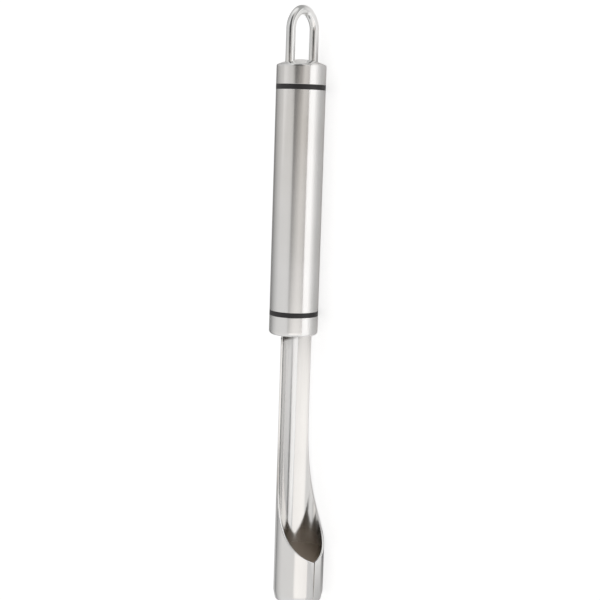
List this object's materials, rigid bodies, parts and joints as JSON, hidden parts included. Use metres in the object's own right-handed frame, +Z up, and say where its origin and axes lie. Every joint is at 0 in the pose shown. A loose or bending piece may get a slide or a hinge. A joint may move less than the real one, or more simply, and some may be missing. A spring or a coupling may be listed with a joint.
{
  "type": "apple corer",
  "caption": "Hand-held apple corer: round steel handle with hanging loop, and a rolled steel blade that closes into a split coring ring.",
  "frame": {"origin": "middle of the object's outline at the height of the table it lies on", "axes": "+X along the handle towards the hanging loop, the blade's opening looks along -Y, +Z up"},
  "size_m": [0.2424, 0.029, 0.0206],
  "materials": {
    "satin_steel": "satin, brushed along the handle",
    "polished_steel": "polished",
    "blade_steel": "bright, polished sheet",
    "black_plastic": "satin black"
  },
  "bodies": {
    "root": {"hanging_loop": "polished_steel", "top_cap": "satin_steel", "upper_plug": "black_plastic", "grip_tube": "satin_steel", "lower_plug": "black_plastic", "lower_cap": "satin_steel", "tang_pin": "satin_steel", "coring_blade": "blade_steel"}
  },
  "joints": []
}
